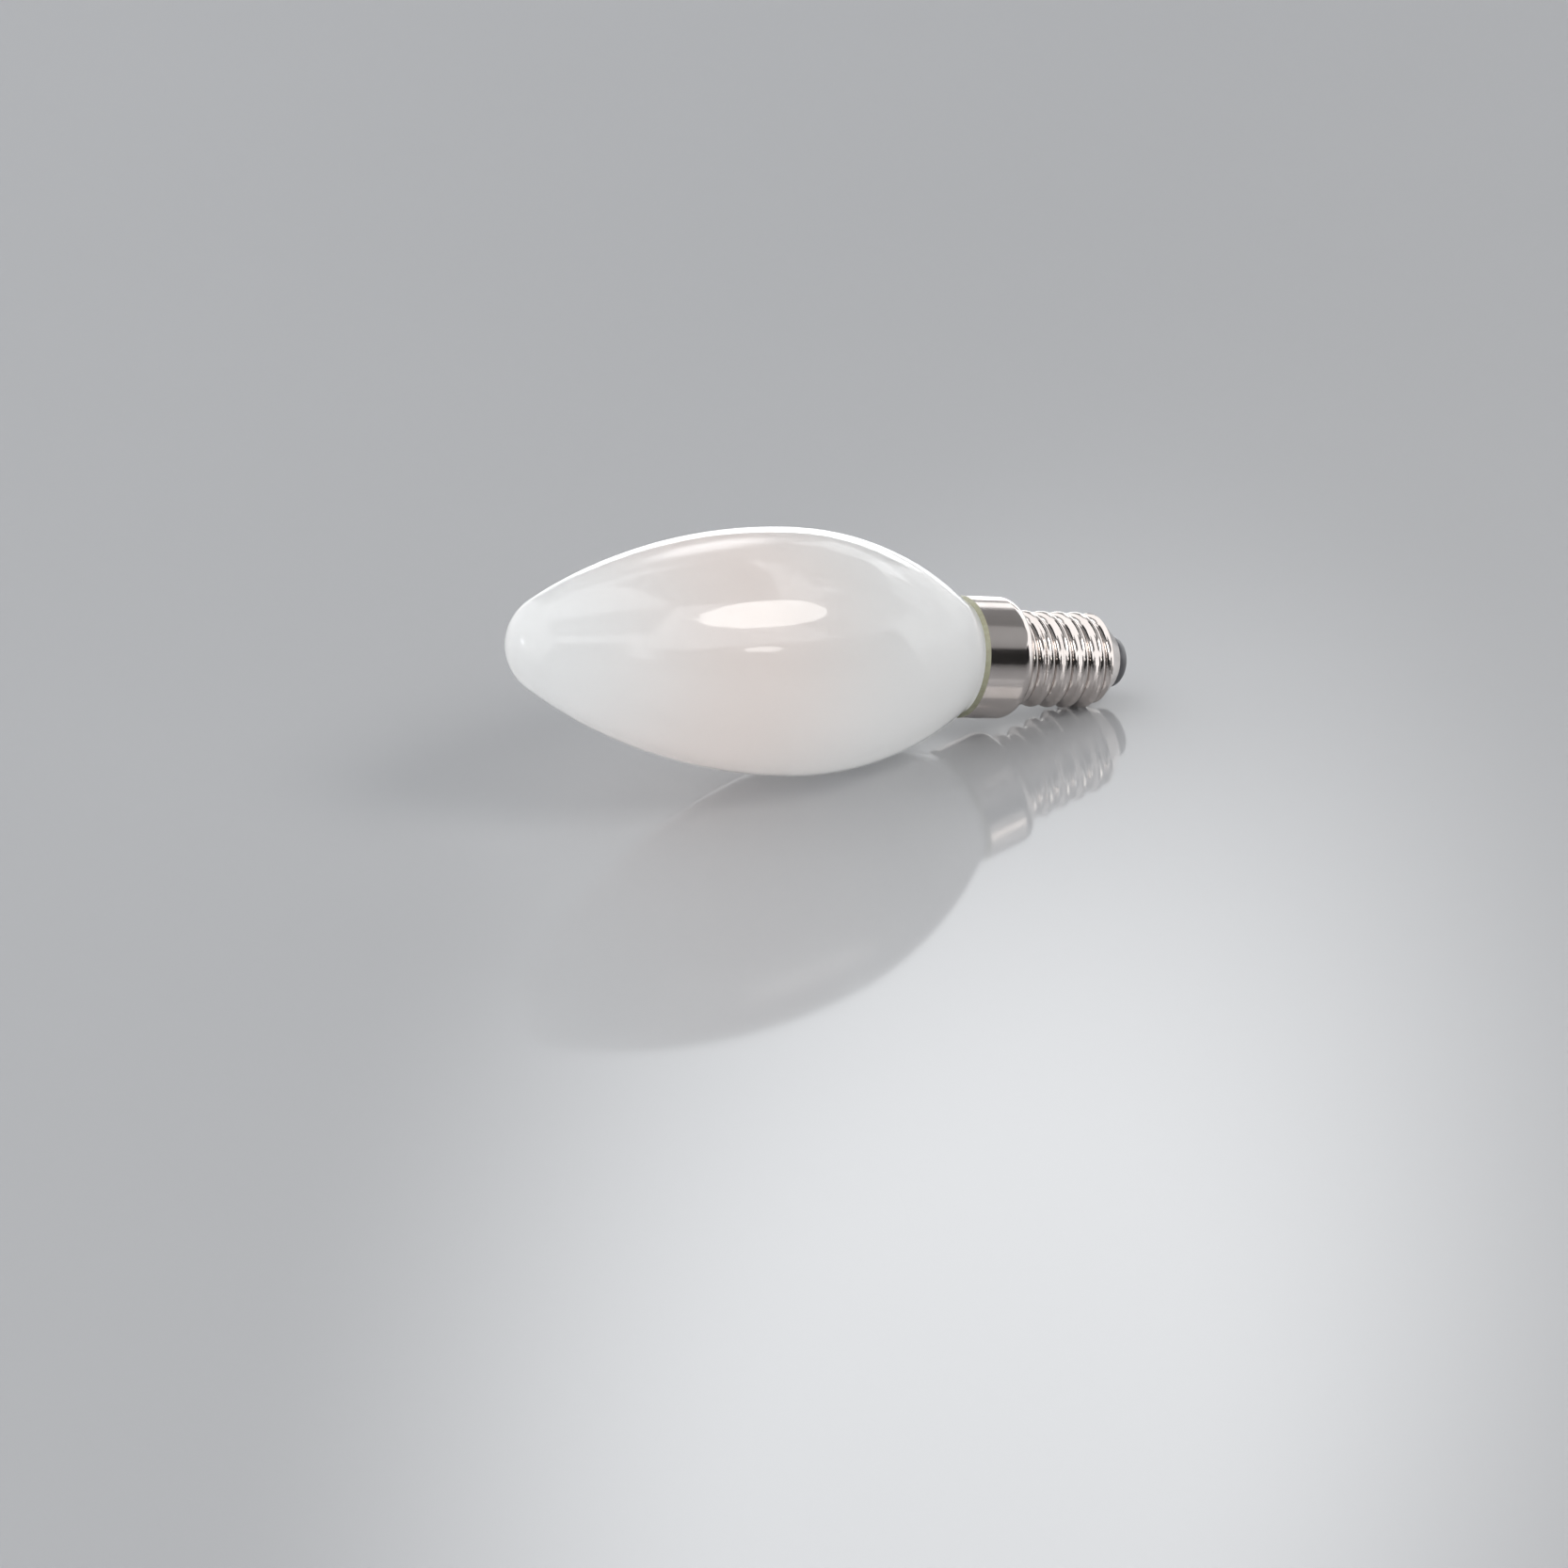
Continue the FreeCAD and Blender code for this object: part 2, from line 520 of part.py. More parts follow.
def cap_form(document, prefix):
    """Solid form of the cap's outside or inside: skirt, shoulder, wound ridge and end cone."""
    body = new_body(document, prefix + "_thread_form")
    outline = Outline(body, prefix + "_cap_outline")
    outline.begin(None, prefix + "_low")
    outline.line(prefix + "_skirt", prefix + "_low")
    outline.line(prefix + "_skirt", "cap_shoulder_along")
    outline.arc(("cap_shoulder_middle", "cap_shoulder_along"),
                (prefix + "_bend_across", prefix + "_bend_along"))
    outline.arc(("cap_hollow_middle", "cap_hollow_along"),
                (prefix + "_core", "cap_hollow_along"), turn="right")
    outline.line(prefix + "_core", prefix + "_high")
    outline.line(None, prefix + "_high")
    turned(body, "PartDesign::Revolution", outline.close(), prefix + "_cap_core")

    ridge = Outline(body, prefix + "_ridge_outline")
    ridge.begin(prefix + "_ridge_root", prefix + "_foot_low")
    ridge.line(prefix + "_core", prefix + "_foot_low")
    ridge.arc(("groove_middle", "groove_low"), (prefix + "_join_across", prefix + "_join_low"),
              turn="right")
    ridge.arc(("crest_middle", "thread_start"), (prefix + "_join_across", prefix + "_join_high"))
    ridge.arc(("groove_middle", "groove_high"), (prefix + "_core", prefix + "_foot_high"),
              turn="right")
    ridge.line(prefix + "_ridge_root", prefix + "_foot_high")
    wound(body, ridge.close(), prefix + "_ridge")

    cover = new_body(document, prefix + "_cover_form")
    limit = Outline(cover, prefix + "_cover_outline")
    limit.begin(None, "cover_low")
    limit.line("cover_radius", "cover_low")
    limit.line("cover_radius", "trim_start")
    limit.line(prefix + "_end_wide", "trim_start")
    limit.line(prefix + "_end_narrow", prefix + "_high")
    limit.line(None, prefix + "_high")
    turned(cover, "PartDesign::Revolution", limit.close(), prefix + "_cover")

    form = document.addObject("Part::Common", prefix + "_cap_form")
    form.Base = body
    form.Tool = cover
    return form


def cap_shell(document):
    """Drawn metal cap: plain skirt, shoulder, rolled thread and end cone, all in one thin sheet."""
    sheet = document.addObject("Part::Cut", "cap_sheet")
    sheet.Base = cap_form(document, "outer")
    sheet.Tool = cap_form(document, "inner")
    punch = document.addObject("Part::Sphere", "punch_mark")
    punch.setExpression("Radius", "Sizes.mark_radius")
    punch.setExpression(".Placement.Base.x", "Sizes.mark_down")
    punch.setExpression(".Placement.Base.y", "Sizes.mark_aside")
    punch.setExpression(".Placement.Base.z", "Sizes.mark_along")
    shell = document.addObject("Part::Cut", "cap_shell")
    shell.Base = sheet
    shell.Tool = punch
    return shell


def end_insulator(document):
    """Dark glass insulator that closes the small end of the cap and seats the contact."""
    body = new_body(document, "end_insulator")
    outline = Outline(body, "insulator_outline")
    outline.begin("shank_radius", "seat_along")
    outline.line("seat_radius", "seat_along")
    outline.line("dome_side", "cap_end")
    outline.arc(("dome_middle", "dome_bend_along"), ("dome_middle", "dome_along"),
                hold="DistanceX")
    outline.line("contact_recess", "dome_along")
    outline.line("contact_recess", "contact_seat")
    outline.line("shank_radius", "contact_seat")
    turned(body, "PartDesign::Revolution", outline.close(), "insulator")
    return body


def centre_contact(document):
    """Nail-shaped centre contact: a flat head in the insulator and a shank into the cap."""
    body = new_body(document, "centre_contact")
    outline = Outline(body, "contact_outline")
    outline.begin(None, "shank_end")
    outline.line("shank_radius", "shank_end")
    outline.line("shank_radius", "contact_seat")
    outline.line("contact_radius", "contact_seat")
    outline.line("contact_radius", "contact_round_along")
    outline.arc(("contact_flat", "contact_round_along"), ("contact_flat", "contact_face"),
                hold="DistanceX")
    outline.line(None, "contact_face")
    turned(body, "PartDesign::Revolution", outline.close(), "contact")
    return body


def insulating_sleeve(document):
    """Thin tube that keeps the electronics off the metal cap."""
    body = new_body(document, "insulating_sleeve")
    outline = Outline(body, "sleeve_outline")
    outline.begin("sleeve_bore", "sleeve_start")
    outline.line("sleeve_radius", "sleeve_start")
    outline.line("sleeve_radius", "sleeve_end")
    outline.line("sleeve_bore", "sleeve_end")
    turned(body, "PartDesign::Revolution", outline.close(), "sleeve")
    return body


def block(body, name, left, right, low, high, width):
    """Pad a plain rectangle to both sides of the lamp's middle plane."""
    outline = Outline(body, name + "_outline")
    outline.begin(left, low)
    outline.line(right, low)
    outline.line(right, high)
    outline.line(left, high)
    return padded(body, outline.close(), name, width)


def padded(body, sketch, name, width):
    """Give an outline a thickness, half of it to each side of its plane."""
    feature = body.newObject("PartDesign::Pad", name)
    feature.Profile = sketch
    feature.SideType = "Symmetric"
    feature.setExpression("Length", f"Sizes.{width}")
    sketch.Visibility = False
    return feature


def stand_off(outline, offset):
    """Move an outline's plane sideways, off the lamp's middle plane."""
    sketch = outline.sketch
    sketch.AttachmentOffset = FreeCAD.Placement(FreeCAD.Vector(0, 0, size[offset]),
                                                FreeCAD.Rotation())
    sketch.setExpression(".AttachmentOffset.Base.z", f"Sizes.{offset}")


def both_sides(body, feature, name):
    """Repeat a feature on the other side of the lamp's middle plane."""
    mirror = body.newObject("PartDesign::Mirrored", name)
    mirror.Originals = [feature]
    mirror.MirrorPlane = (origin_plane(body, "XZ_Plane"), [""])
    body.Tip = mirror
    return mirror


def driver_board(document):
    """Flat circuit board that stands along the lamp inside the sleeve."""
    body = new_body(document, "driver_board")
    block(body, "board", "board_back", "board_front", "board_start", "board_end", "board_width")
    return body


def flat_package(document, name, prefix):
    """Moulded package with two bent leads at each end, on the front of the board."""
    body = new_body(document, name)
    block(body, prefix + "_case", "board_front", prefix + "_top", prefix + "_near_edge",
          prefix + "_far_edge", prefix + "_width")
    leads = Outline(body, prefix + "_lead_outline")
    stand_off(leads, "lead_offset")
    for end in ("near", "far"):
        leads.begin(prefix + "_lead_over", f"{prefix}_{end}_edge")
        leads.line(prefix + "_lead_over", f"{prefix}_{end}_bend")
        leads.line("lead_foot", f"{prefix}_{end}_bend")
        leads.line("lead_foot", f"{prefix}_{end}_toe")
        leads.line("board_front", f"{prefix}_{end}_toe")
        leads.line("board_front", f"{prefix}_{end}_inside")
        leads.line(prefix + "_lead_under", f"{prefix}_{end}_inside")
        leads.line(prefix + "_lead_under", f"{prefix}_{end}_edge")
        leads.close()
    row = padded(body, leads.sketch, prefix + "_leads", "lead_width")
    both_sides(body, row, prefix + "_lead_pair")
    return body


def sense_resistor(document):
    """Small chip resistor on the front of the board, drawn in the middle plane."""
    body = new_body(document, "sense_resistor")
    block(body, "resistor", "board_front", "resistor_top", "resistor_low", "resistor_high",
          "resistor_width")
    return body


def barrel(body, prefix):
    """Round component about its own axis, with rounded ends."""
    outline = Outline(body, prefix + "_profile")
    outline.begin(None, prefix + "_start")
    outline.line(prefix + "_flat", prefix + "_start")
    outline.arc((prefix + "_flat", prefix + "_round_low"),
                (prefix + "_radius", prefix + "_round_low"))
    outline.line(prefix + "_radius", prefix + "_round_high")
    outline.arc((prefix + "_flat", prefix + "_round_high"), (prefix + "_flat", prefix + "_end"),
                hold="DistanceX")
    outline.line(None, prefix + "_end")
    turned(body, "PartDesign::Revolution", outline.close(), prefix + "_case")


def crook(outline, prefix, end, edge):
    """Draw one bent lead, from the end of a round component to the board's back."""
    outline.begin("pin_outside", prefix + edge)
    outline.line("pin_outside", f"{prefix}_{end}_pin")
    outline.line(prefix + "_radius", f"{prefix}_{end}_pin")
    outline.line(prefix + "_radius", f"{prefix}_{end}_crook")
    outline.line("pin_inside", f"{prefix}_{end}_crook")
    outline.line("pin_inside", prefix + edge)
    outline.close()


def smoothing_capacitor(document):
    """Upright can with two leads at its far end, lying against the back of the board."""
    body = new_body(document, "smoothing_capacitor")
    barrel(body, "can")
    leads = Outline(body, "can_lead_outline")
    stand_off(leads, "pin_half_spacing")
    crook(leads, "can", "far", "_end")
    row = padded(body, leads.sketch, "can_lead", "pin_width")
    both_sides(body, row, "can_lead_pair")
    return body


def fusible_resistor(document):
    """Round resistor with a bent lead at each end, lying against the back of the board."""
    body = new_body(document, "fusible_resistor")
    barrel(body, "fuse")
    leads = Outline(body, "fuse_lead_outline")
    crook(leads, "fuse", "near", "_start")
    crook(leads, "fuse", "far", "_end")
    padded(body, leads.sketch, "fuse_leads", "pin_width")
    return body


def wire(document, name, corners):
    """Round wire along straight runs with a tangent bend at each inner corner."""
    points = [FreeCAD.Vector(*corner) for corner in corners]
    edges = []
    last = points[0]
    for before, corner, after in zip(points, points[1:], points[2:]):
        inward = (corner - before).normalize()
        outward = (after - corner).normalize()
        half_turn = inward.getAngle(outward) / 2
        setback = size["wire_bend"] * math.tan(half_turn)
        start = corner - inward * setback
        end = corner + outward * setback
        towards = (outward - inward).normalize()
        depth = size["wire_bend"] / math.cos(half_turn) - size["wire_bend"]
        edges.append(Part.LineSegment(last, start).toShape())
        edges.append(Part.Arc(start, corner + towards * depth, end).toShape())
        last = end
    edges.append(Part.LineSegment(last, points[-1]).toShape())
    ring = Part.Circle(points[0], points[1] - points[0], size["wire_radius"]).toShape()
    piece = document.addObject("Part::Feature", name)
    piece.Shape = Part.Wire(edges).makePipeShell([Part.Wire(ring)], True, False)
    return piece


def wires(document):
    """The lamp's four inner wires: two from the glass, one to each contact of the cap."""
    back = -size["wire_middle"]
    front = size["wire_middle"]
    landing = size["board_start"] + size["wire_land"]
    turn = size["neck_end"] + size["feed_straight"]
    pieces = []
    for number, side in enumerate((-1, 1), start=1):
        aside = side * size["feed_aside"]
        pieces.append(wire(document, f"lead_in_wire_{number}", [
            (0, aside, size["neck_end"]),
            (0, aside, turn),
            (back, aside, turn + size["feed_slant"]),
            (back, aside, landing),
        ]))
    bend = size["shank_end"] - size["live_straight"]
    pieces.append(wire(document, "live_wire", [
        (0, 0, size["shank_end"]),
        (0, 0, bend),
        (back, 0, bend - size["live_straight"]),
        (back, 0, size["board_end"] - size["wire_land"]),
    ]))
    cross = size["neutral_cross"]
    inside = size["cap_shoulder_bend"] - size["sheet_wall"]
    rise = cross + size["wire_radius"] - size["cap_shoulder_along"]
    wall = size["cap_shoulder_middle"] + math.sqrt(inside ** 2 - rise ** 2)
    reach = math.sqrt(wall ** 2 - (front + size["wire_radius"]) ** 2) - size["neutral_gap"]
    pieces.append(wire(document, "neutral_wire", [
        (front, size["neutral_aside"], landing),
        (front, size["neutral_aside"], cross),
        (front, reach, cross),
    ]))
    return pieces


def thread_radius(along):
    """Outer radius of the thread and its end cone on the underside of the lamp."""
    past = (along - size["thread_start"]) % size["thread_pitch"]
    from_crest = min(past, size["thread_pitch"] - past)
    bend = size["thread_bend"]
    if from_crest < size["outer_join_high"] - size["thread_start"]:
        radius = size["crest_middle"] + math.sqrt(bend ** 2 - from_crest ** 2)
    else:
        from_groove = size["half_pitch"] - from_crest
        radius = size["groove_middle"] - math.sqrt(bend ** 2 - from_groove ** 2)
    slope = (size["thread_crest"] - size["end_radius"]) / size["end_length"]
    return min(radius, size["end_radius"] + (size["cap_end"] - along) * slope)


def glass_reach(tilt):
    """How far below its tip the shoulder of the glass reaches at a tilt."""
    reach = size["belly_along"] * math.sin(tilt) + size["shoulder_middle"] * math.cos(tilt)
    return reach + size["shoulder_bend"]


def thread_reach(tilt):
    """How far below the glass tip the thread and its end cone reach at a tilt."""
    steps = math.ceil((size["cap_end"] - size["cap_hollow_along"]) / REST_STEP)
    places = [size["cap_end"] - step * REST_STEP for step in range(steps)]
    return max(place * math.sin(tilt) + thread_radius(place) * math.cos(tilt)
               for place in places)


def rest_tilt():
    """Tilt at which the glass and the thread both touch the ground."""
    low, high = REST_TILTS
    while high - low > REST_CLOSE:
        middle = (low + high) / 2
        if thread_reach(middle) > glass_reach(middle):
            high = middle
        else:
            low = middle
    return low


def rest_placement():
    """Lay the lamp down on the shoulder of its glass and the lowest part of its thread."""
    tilt = rest_tilt()
    lift = glass_reach(tilt)
    # The farthest points are on the ball of the tip and on the rim of the contact or the dome.
    left = size["tip_bend"] * math.cos(tilt) - size["tip_bend"]
    rim = size["contact_round_along"] * math.cos(tilt) + size["contact_flat"] * math.sin(tilt)
    dome = size["dome_bend_along"] * math.cos(tilt) + size["dome_middle"] * math.sin(tilt)
    right = max(rim + size["contact_rounding"], dome + size["insulator_bend"])
    base = FreeCAD.Vector(-(left + right) / 2, 0, lift)
    turn = FreeCAD.Rotation(FreeCAD.Vector(0, 1, 0), 90 + math.degrees(tilt))
    print(f"tilt {math.degrees(tilt):.3f} degrees")
    return FreeCAD.Placement(base, turn)


def check(document, pieces):
    """Stop if anything failed to build."""
    for item in document.Objects:
        if "Invalid" in item.State or "Error" in item.State:
            raise RuntimeError(f"{item.Name} failed: {item.State}")
    for piece in pieces:
        shape = piece.Shape
        if shape.isNull() or not shape.isValid() or len(shape.Solids) != 1:
            raise RuntimeError(f"{piece.Label} is not one sound solid")


def main():
    """Build, check and write the lamp."""
    work_out_sizes()
    document = FreeCAD.newDocument("candle_bulb")
    fill_sheet(document)
    beside = {
        "sense_resistor": FreeCAD.Vector(0, size["resistor_aside"], 0),
        "smoothing_capacitor": FreeCAD.Vector(-size["board_front"] - size["can_radius"], 0, 0),
        "fusible_resistor": FreeCAD.Vector(-size["board_front"] - size["fuse_radius"],
                                           size["fuse_aside"], 0),
    }
    shell = [
        glass_bulb(document),
        basing_cement(document),
        cap_shell(document),
        end_insulator(document),
        centre_contact(document),
        insulating_sleeve(document),
    ]
    driver = [
        driver_board(document),
        flat_package(document, "bridge_rectifier", "bridge"),
        flat_package(document, "driver_chip", "chip"),
        sense_resistor(document),
        smoothing_capacitor(document),
        fusible_resistor(document),
        *wires(document),
    ]
    document.recompute()
    rest = rest_placement()
    for piece in shell:
        piece.Placement = rest
    turn = FreeCAD.Rotation(FreeCAD.Vector(0, 0, 1), DRIVER_TURN)
    underneath = rest.multiply(FreeCAD.Placement(FreeCAD.Vector(), turn))
    for piece in driver:
        shift = beside.get(piece.Label, FreeCAD.Vector())
        piece.Placement = underneath.multiply(FreeCAD.Placement(shift, FreeCAD.Rotation()))
    document.recompute()
    check(document, shell + driver)
    os.makedirs("parts", exist_ok=True)
    for piece in shell + driver:
        piece.Shape.exportStep(f"parts/{piece.Label}.step")
        print(f"{piece.Label}: {piece.Shape.Volume:.2f} cubic mm")


main()
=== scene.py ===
"""Candle bulb lying on a pale studio floor: finishes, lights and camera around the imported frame.

Lengths are in metres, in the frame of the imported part: Z up, the lamp along X with its cap
towards +X, and the camera in front of it on the left. Bearings are in degrees from the front,
growing towards the cap, and heights are in degrees above the floor.
"""
import json
import logging
import math
from collections.abc import Iterable
from dataclasses import dataclass, field
from enum import Enum
from typing import Any, Protocol

import bmesh
import bpy
from mathutils import Euler, Matrix, Vector

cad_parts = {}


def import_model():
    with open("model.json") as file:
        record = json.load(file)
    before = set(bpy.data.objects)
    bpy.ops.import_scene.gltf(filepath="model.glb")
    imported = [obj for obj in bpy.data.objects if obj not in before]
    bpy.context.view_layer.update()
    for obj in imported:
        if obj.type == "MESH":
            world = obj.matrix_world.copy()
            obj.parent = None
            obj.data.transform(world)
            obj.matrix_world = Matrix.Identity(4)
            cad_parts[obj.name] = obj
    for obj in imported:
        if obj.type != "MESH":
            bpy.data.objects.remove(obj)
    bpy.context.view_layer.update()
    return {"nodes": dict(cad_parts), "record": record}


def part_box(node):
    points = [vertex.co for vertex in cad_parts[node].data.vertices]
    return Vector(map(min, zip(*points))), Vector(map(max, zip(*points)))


log = logging.getLogger("candle_bulb")

IMAGE_SIZE = 1666
GLOSS_IOR = 1.5
UNSCALED = (1.0, 1.0, 1.0)

Colour = tuple[float, float, float]

WHITE: Colour = (1.0, 1.0, 1.0)
WARM_LIGHT: Colour = (1.0, 0.97, 0.93)
COOL_LIGHT: Colour = (0.97, 0.985, 1.0)


class ShaderValue:
    """A socket in a sheet of nodes, which Python's operators add Math nodes to."""

    def __init__(self, sheet: "NodeSheet", socket: bpy.types.NodeSocket | None) -> None:
        """Wrap a socket of a sheet."""
        self.sheet = sheet
        self.socket = socket

    def _math(self, operation: str, first: "ShaderValue | float",
              second: "ShaderValue | float") -> "ShaderValue":
        """Join two values with one Math node."""
        return self.sheet.node("ShaderNodeMath", {"operation": operation}, {0: first, 1: second})

    def __add__(self, other: "ShaderValue | float") -> "ShaderValue":
        """Add another value."""
        return self._math("ADD", self, other)

    def __radd__(self, other: float) -> "ShaderValue":
        """Be added to a number."""
        return self._math("ADD", other, self)

    def __sub__(self, other: "ShaderValue | float") -> "ShaderValue":
        """Take another value away."""
        return self._math("SUBTRACT", self, other)

    def __rsub__(self, other: float) -> "ShaderValue":
        """Be taken away from a number."""
        return self._math("SUBTRACT", other, self)

    def __mul__(self, other: "ShaderValue | float") -> "ShaderValue":
        """Multiply by another value."""
        return self._math("MULTIPLY", self, other)

    def __rmul__(self, other: float) -> "ShaderValue":
        """Multiply a number."""
        return self._math("MULTIPLY", other, self)


SocketValue = ShaderValue | float | tuple | Vector | Euler


class NodeSheet:
    """The nodes of one material or world, added one at a time."""

    def __init__(self, tree: bpy.types.NodeTree) -> None:
        """Start on an emptied tree."""
        self.tree = tree
        tree.nodes.clear()

    def node(self, kind: str, settings: dict[str, str] | None = None,
             values: dict[int | str, SocketValue] | None = None,
             out: int | str = 0) -> ShaderValue:
        """Add a node.

        Args:
            kind: Blender's name of the node.
            settings: its properties, set before its sockets.
            values: what each input socket is set to or linked from.
            out: the output socket to hand back.

        Returns:
            The output socket, wrapped. A node that ends the sheet has none to wrap.
        """
        made = self.tree.nodes.new(kind)
        for name, value in (settings or {}).items():
            setattr(made, name, value)
        for key, value in (values or {}).items():
            if isinstance(value, ShaderValue):
                self.tree.links.new(value.socket, made.inputs[key])
            else:
                made.inputs[key].default_value = value
        return ShaderValue(self, made.outputs[out] if made.outputs else None)

    def shader(self, kind: str, values: dict[int | str, SocketValue]) -> ShaderValue:
        """Add a shader that has no settings of its own."""
        return self.node(kind, None, values)

    def place(self, centre: Vector, turn: Euler,
              scale: tuple[float, float, float] = UNSCALED) -> ShaderValue:
        """Move Object coordinates to a centre and turn them to a direction.

        Args:
            centre: the point that becomes the origin.
            turn: the turn of the pattern.
            scale: how far the pattern is stretched along each of its axes.

        Returns:
            The placed coordinates.
        """
        coordinates = self.node("ShaderNodeTexCoord", out="Object")
        moved = self.node("ShaderNodeVectorMath", {"operation": "SUBTRACT"},
                          {0: coordinates, 1: centre})
        return self.node("ShaderNodeMapping", {"vector_type": "TEXTURE"},
                         {"Vector": moved, "Rotation": turn, "Scale": scale})

    def noise(self, where: ShaderValue, scale: float, detail: float = 3.0) -> ShaderValue:
        """Add even grey noise between 0 and 1."""
        return self.node("ShaderNodeTexNoise", {"noise_dimensions": "3D"},
                         {"Vector": where, "Scale": scale, "Detail": detail}, out="Fac")

    def ease(self, measure: ShaderValue, ends: tuple[float, float],
             values: tuple[float, float]) -> ShaderValue:
        """Go smoothly from one value to another as a measure grows.

        Args:
            measure: what is measured.
            ends: the measures at which the change starts and ends.
            values: the values before and after it.

        Returns:
            The value.
        """
        return self.node("ShaderNodeMapRange", {"interpolation_type": "SMOOTHSTEP"},
                         {"Value": measure, "From Min": ends[0], "From Max": ends[1],
                          "To Min": values[0], "To Max": values[1]})

    def blend(self, share: ShaderValue | float, first: ShaderValue | Colour,
              second: ShaderValue | Colour) -> ShaderValue:
        """Blend two colours."""
        return self.node("ShaderNodeMix", {"data_type": "RGBA"},
                         {0: share, 6: rgba(first), 7: rgba(second)}, out=2)

    def layer(self, share: ShaderValue | float, under: ShaderValue,
              over: ShaderValue) -> ShaderValue:
        """Lay a share of one shader over another."""
        return self.shader("ShaderNodeMixShader", {0: share, 1: under, 2: over})

    def bump(self, height: ShaderValue, strength: float, distance: float) -> ShaderValue:
        """Raise the surface by a height."""
        return self.node("ShaderNodeBump", None,
                         {"Height": height, "Strength": strength, "Distance": distance},
                         out="Normal")

    def finish(self, shader: ShaderValue, kind: str = "ShaderNodeOutputMaterial") -> None:
        """End the sheet at its output."""
        self.node(kind, None, {"Surface": shader})


def rgba(colour: ShaderValue | Colour) -> ShaderValue | tuple[float, float, float, float]:
    """Give a plain colour its alpha, and leave a linked one."""
    return colour if isinstance(colour, ShaderValue) else (*colour, 1.0)


def spread_about(middle: float, spread: float, cloud: ShaderValue) -> ShaderValue:
    """Let a cloud between 0 and 1 move a value up and down about its middle."""
    return middle + spread * (cloud - 0.5)


def new_material(name: str) -> tuple[bpy.types.Material, NodeSheet]:
    """Make an empty node material and its sheet.

    Args:
        name: the material's name.

    Returns:
        The material and its sheet.
    """
    material = bpy.data.materials.new(name)
    material.use_nodes = True
    return material, NodeSheet(material.node_tree)


def add_piece(name: str, shape: bmesh.types.BMesh) -> bpy.types.Object:
    """Turn a finished bmesh into an object of the scene.

    Args:
        name: the object's name.
        shape: the bmesh, which is used up.

    Returns:
        The object, at the origin.
    """
    mesh = bpy.data.meshes.new(name)
    shape.to_mesh(mesh)
    shape.free()
    piece = bpy.data.objects.new(name, mesh)
    bpy.context.scene.collection.objects.link(piece)
    return piece


def direction_to(bearing: float, height: float) -> Vector:
    """Find the direction that a bearing and a height give.

    Args:
        bearing: degrees round from the front, towards the cap.
        height: degrees above the floor.

    Returns:
        The direction, with a length of 1.
    """
    around = math.radians(bearing)
    up = math.radians(height)
    return Vector((math.sin(around) * math.cos(up), -math.cos(around) * math.cos(up),
                   math.sin(up)))


@dataclass(frozen=True)
class LampAxis:
    """The line through the lamp, from the tip of its glass to its centre contact."""

    tip: Vector
    direction: Vector

    @classmethod
    def from_frame(cls, record: dict[str, Any]) -> "LampAxis":
        """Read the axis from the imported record's contact mount and the glass.

        Args:
            record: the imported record.

        Returns:
            The axis.
        """
        mounts = {mount["name"]: mount for mount in record["mounts"]}
        contact = mounts["centre_contact_face"]
        direction = Vector(contact["axis"]).normalized()
        face = Vector(contact["pos_m"])
        # The rounded tip touches the end of the glass's box a little off the axis, so the tip
        # found here is a little too far out. That doesn't show in a soft tint.
        length = (face.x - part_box("glass_bulb")[0].x) / direction.x
        return cls(face - direction * length, direction)

    @property
    def turn(self) -> Euler:
        """Turn that lays an axis along Z on to the lamp."""
        return self.direction.to_track_quat("Z", "Y").to_euler()

    def at(self, along: float) -> Vector:
        """Find the point on the axis at a distance from the tip."""
        return self.tip + self.direction * along


class Finish(Protocol):
    """What a node can be dressed in."""

    def make(self) -> bpy.types.Material:
        """Build the material."""


